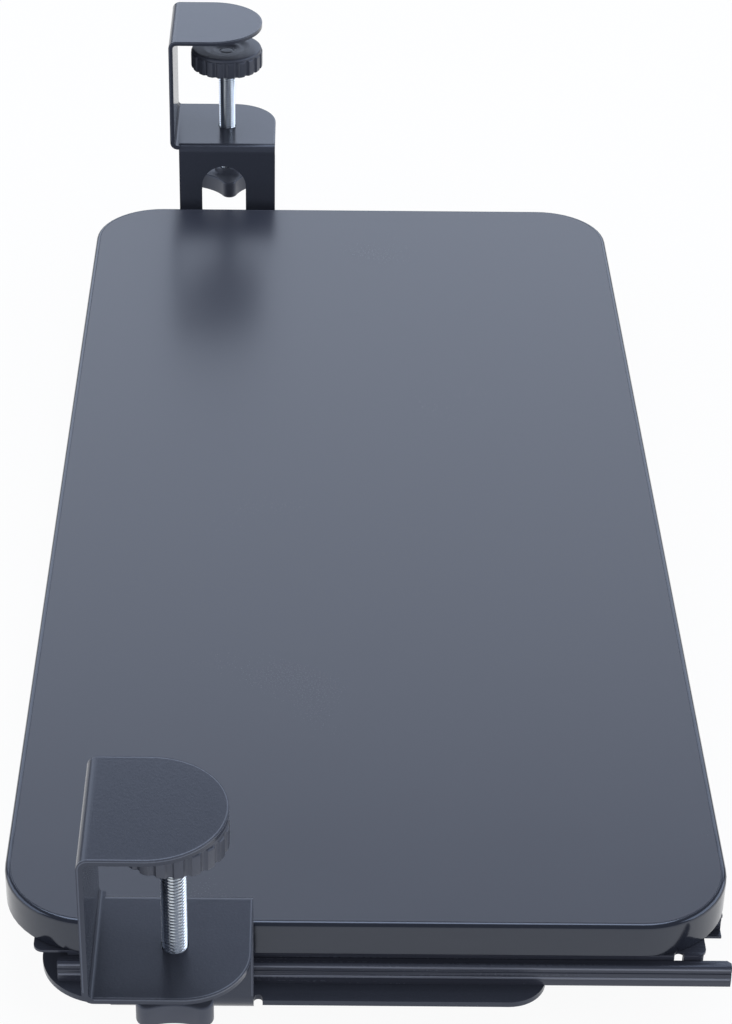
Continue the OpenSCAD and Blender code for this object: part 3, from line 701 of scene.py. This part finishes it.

# %% [markdown]
# ## Sheet edges
# Powder gathers on the cut edges of the brackets and melts into a fine round bead that
# catches the light. A Bevel on the solid could round the edge, but it couldn't give it a
# lighter coat, which here is a painted highlight along the edge. So each bead is a thin
# tube along an edge, sunk almost wholly in the sheet: up the spine, over the bend and
# round the upper jaw, round the lower jaw, and down the flange. First come the edges,
# as paths with two directions.

# %% Edges of the right bracket
STRIP_W, SHEET, BEND_OUT, JAW_OPENING = 0.061, 0.0025, 0.0045, 0.0645
SCREW_REACH, UPPER_REACH, LOWER_REACH, LOW_CORNER_R = 0.0335, 0.0548, 0.0629, 0.026
SPINE_CLEAR, FLANGE_FROM, FLANGE_TO = 0.003, 0.026, -0.020
UP, LEFT, RIGHT, BACK, FRONT = (0, 0, 1.0), (-1.0, 0, 0), (1.0, 0, 0), (0, 1.0, 0), (0, -1.0, 0)


def straight(start, end, side, out, count=24):
    """Rows of place, side and outer face along a straight edge."""
    t = np.linspace(0, 1, count)[:, None]
    place = (1 - t) * start + t * np.array(end)
    return np.hstack([place, np.tile(side, (count, 1)), np.tile(out, (count, 1))])


def plan_arc(centre, r, start, end, count=48):
    """Arc in plan, whose side is its radius and whose outer face is the top."""
    a = np.linspace(start, end, count)
    ray = np.stack([np.cos(a), np.sin(a), 0 * a], -1)
    return np.hstack([np.array(centre) + r * ray, ray, np.tile(UP, (count, 1))])


def over_bend(centre, r, side, count=12):
    """Edge of the upper bend from the spine up to the jaw, whose outer face is its radius."""
    a = np.linspace(np.pi, np.pi / 2, count)
    ray = np.stack([0 * a, np.cos(a), np.sin(a)], -1)
    return np.hstack([np.array(centre) + r * ray, np.tile(side, (count, 1)), ray])


def end_to_end(*legs):
    """Legs joined into one path, without the row that each shares with the leg before it."""
    return np.vstack([legs[0], *(leg[1:] for leg in legs[1:])])


strip_out, jaw_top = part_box("right_clamp_bracket")[1].x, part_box("right_clamp_bracket")[1].z
strip_in, low_top = strip_out - STRIP_W, jaw_top - SHEET - JAW_OPENING
spine_y = middle_of("right_clamp_screw")[1] - SCREW_REACH
bend_y, bend_z = spine_y + BEND_OUT, jaw_top - BEND_OUT
spine_low, low_tip_y = low_top + SPINE_CLEAR, spine_y + LOWER_REACH
tip_r = STRIP_W / 2
tip_y = spine_y + UPPER_REACH - tip_r
turn_x, turn_y = strip_out - LOW_CORNER_R, low_tip_y - LOW_CORNER_R
flange_x = strip_in + SHEET
EDGES = {
    "upper_rim": end_to_end(
        straight((strip_in, spine_y, spine_low), (strip_in, spine_y, bend_z), LEFT, FRONT),
        over_bend((strip_in, bend_y, bend_z), BEND_OUT, LEFT),
        straight((strip_in, bend_y, jaw_top), (strip_in, tip_y, jaw_top), LEFT, UP),
        plan_arc((strip_in + tip_r, tip_y, jaw_top), tip_r, np.pi, 0),
        straight((strip_out, tip_y, jaw_top), (strip_out, bend_y, jaw_top), RIGHT, UP),
        over_bend((strip_out, bend_y, bend_z), BEND_OUT, RIGHT)[::-1],
        straight((strip_out, spine_y, bend_z), (strip_out, spine_y, spine_low), RIGHT, FRONT)),
    "lower_rim": end_to_end(
        straight((strip_in + BEND_OUT, low_tip_y, low_top), (turn_x, low_tip_y, low_top), BACK, UP),
        plan_arc((turn_x, turn_y, low_top), LOW_CORNER_R, np.pi / 2, 0),
        straight((strip_out, turn_y, low_top), (strip_out, bend_y, low_top), RIGHT, UP)),
    "flange_rim": straight((flange_x, low_tip_y, FLANGE_FROM), (flange_x, low_tip_y, FLANGE_TO), BACK, RIGHT),
}
print("edges", {name: len(path) for name, path in EDGES.items()})

# %% [markdown]
# The bead itself is a small circle carried along such a path. A curve with a round
# bevel would twist where the path turns from the spine to the jaw. The two directions
# of the path hold the circle square to the sheet instead, and the left bracket's beads
# are the same points mirrored in X.

# %% Beads on the sheet edges
BEAD_R, BEAD_SINK, BEAD_COLUMNS = 0.0007, 0.00063, 12


def edge_bead(name, side, path):
    """Point = edge - sink * (side + out) + radius * (cos t * side + sin t * out), mirrored for the left."""
    place, flank, out = path[:, None, 0:3], path[:, None, 3:6], path[:, None, 6:9]
    t = all_round(BEAD_COLUMNS)[:, :, None]
    points = place - BEAD_SINK * (flank + out) + BEAD_R * (np.cos(t) * flank + np.sin(t) * out)
    points = points * [SIDES[side], 1, 1]
    # The bead's lighter coat is a painted highlight along the sheet edge.
    piece = grid_piece(f"{side}_{name}", points if side == "right" else points[::-1], edge_highlight_coat)
    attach(piece, "desk_clamps")
    return piece


for side in SIDES:
    for name, path in EDGES.items():
        made = edge_bead(name, side, path)
        print(made.name, len(made.data.polygons), "faces")

# %% [markdown]
# ## Rolled ribs
# Rolling leaves two low ribs along each flank of a fixed rail, one above its groove and
# one over the balls. They are coloured much lighter than the lacquer, a painted
# highlight that draws the light lines along the rail. A bump could draw them, but they
# would be lost in the exported mesh. Each is a flat oval bar, half sunk in the flank: a
# rounder one would mirror the darker side of the room and draw a dark line instead.

# %% Ribs along the fixed rails
RIB_HEIGHTS, RIB_HALVES, RIB_RISE = (0.0042, 0.0089), (0.0006, 0.0005), 0.00016
FLANK_SWELL, RIB_STOP = 0.0003, 0.0004
RIB_COLUMNS, RIB_ROWS = 32, 60


def rail_rib(side, flank, k):
    """Point = (flank + rise * cos t, along the rail, height + half width * sin t), a straight bar along Y."""
    low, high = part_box(f"{side}_fixed_rail")
    face = (low.x if flank < 0 else high.x) - flank * k * FLANK_SWELL
    t = all_round(RIB_COLUMNS)
    x = face + RIB_RISE * np.cos(t)
    y = np.linspace(high.y - RIB_STOP, low.y + RIB_STOP, RIB_ROWS)[:, None]
    z = low.z + RIB_HEIGHTS[k] + RIB_HALVES[k] * np.sin(t)
    points = np.stack(np.broadcast_arrays(x, y, z), -1)
    where = "in" if flank * SIDES[side] < 0 else "out"
    # The rib's lighter lacquer is a painted highlight along the rail.
    piece = grid_piece(f"{side}_rib_{where}_{k}", points, thin_lacquer)
    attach(piece, "desk_clamps")
    return piece


ribs = [rail_rib(side, flank, k) for side in SIDES for flank in (-1, 1) for k in (0, 1)]
print(len(ribs), "ribs,", len(ribs[0].data.polygons), "faces each")

# %% [markdown]
# ## Light
# The photograph was taken under broad soft light. A bright wall beyond the far end is
# what the satin board mirrors, a box overhead lights the jaws, and more walls of light
# stand at both sides. One sky picture could light it all, but separate lamps can be set
# against the photograph one at a time. A low fill from the camera's side keeps the near
# edge from going black, and gloss doesn't show it, so the round edges keep their dark
# lines.

# %% Lamps and room
COOL_LIGHT, ROOM_GREY = (0.90, 1.0, 1.18), (0.25, 0.275, 0.33, 1)


def soft_lamp(name, place, target, size, level):
    """A rectangular lamp of the given radiance: its power is pi times its area times the level."""
    lamp = bpy.data.lights.new(name, "AREA")
    lamp.shape = "RECTANGLE"
    lamp.size, lamp.size_y = size
    lamp.energy = math.pi * size[0] * size[1] * level
    lamp.color = COOL_LIGHT
    turn = (Vector(target) - Vector(place)).to_track_quat("-Z", "Y")
    holder = bpy.data.objects.new(name, lamp)
    holder.matrix_world = Matrix.Translation(place) @ turn.to_matrix().to_4x4()
    bpy.context.scene.collection.objects.link(holder)
    return holder


lamps = [
    soft_lamp("far_wall", place=(-2.6, 0.0, 1.40), target=(0, 0, 0.3), size=(5.0, 1.7), level=1.47),
    soft_lamp("high_box", place=(-0.60, 0.0, 2.0), target=(0.1, 0, 0), size=(1.3, 1.2), level=3.4),
    soft_lamp("right_wall", place=(0.0, 2.3, 1.0), target=(0, 0, 0), size=(3.0, 1.6), level=1.9),
    soft_lamp("left_wall", place=(0.0, -2.3, 1.0), target=(0, 0, 0), size=(3.0, 1.6), level=1.5),
    soft_lamp("low_fill", place=(3.0, 0.0, 0.85), target=(0, 0, 0.05), size=(4.0, 1.1), level=2.4),
]
lamps[-1].visible_glossy = False

world = bpy.data.worlds.new("room")
world.use_nodes = True
background = world.node_tree.nodes["Background"]
background.inputs["Color"].default_value = ROOM_GREY
background.inputs["Strength"].default_value = 1.0
bpy.context.scene.world = world
print(len(lamps), "lamps, the last unseen by gloss:", not lamps[-1].visible_glossy)

# %% [markdown]
# ## Floor
# The photograph shows the tray on white. A floor lit up to white would need so much
# light that the tray would wash out. So the floor is pale grey to the light, and mostly
# a plain white glow to the camera and in mirror images. The small share that stays grey
# keeps the tray's faint shadow. The floor lies just below the lowest reach of the knobs,
# so that they stay clear of it when the screws are turned right down.

# %% Floor
WHITE_SHARE, PALE_GREY, WHITE = 0.94, (0.8, 0.8, 0.8, 1), (1, 1, 1, 1)
FLOOR_REACH, FLOOR_GAP = 40.0, 0.0005


def white_paper():
    """Glow and pale grey mixed by whether a ray comes from the camera, a mirror image or a clear piece."""
    material, at = empty_material("white_floor")
    seen = at.node("LightPath", out="Is Camera Ray") + at.node("LightPath", out="Is Glossy Ray")
    seen = at.node("Clamp", None, {"Value": seen + at.node("LightPath", out="Is Transmission Ray")})
    pale = at.node("BsdfDiffuse", None, {"Color": PALE_GREY}, out="BSDF")
    glow = at.node("Emission", None, {"Color": WHITE, "Strength": 1.0}, out="Emission")
    paper = at.node("MixShader", None, {"Fac": WHITE_SHARE * seen, 1: pale, 2: glow}, out="Shader")
    at.node("OutputMaterial", None, {"Surface": paper})
    return material


def lowest_reach(side):
    """Underside of a knob at the lowest end of its pad's lift."""
    joints = {joint["name"]: joint for joint in frame["record"]["behaviour"]["joints"]}
    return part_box(f"{side}_star_knob")[0].z + joints[f"{side}_pad_lift"]["range_m"][0]


def white_floor(z):
    """A wide level square at height z."""
    corners = FLOOR_REACH * np.array([[-1, -1, 0], [1, -1, 0], [1, 1, 0], [-1, 1, 0]]) + [0, 0, z]
    floor = mesh_piece("floor", corners, np.array([[0, 1, 2, 3]]), np.zeros((0, 3), int), white_paper())


floor_z = min(lowest_reach(side) for side in SIDES) - FLOOR_GAP
white_floor(floor_z)
print("floor at", round(floor_z, 4))

# %% [markdown]
# ## View
# The Standard view shows each colour about as it is written, where a film-like view
# would soften the white.

# %% View
bpy.context.scene.view_settings.view_transform = "Standard"
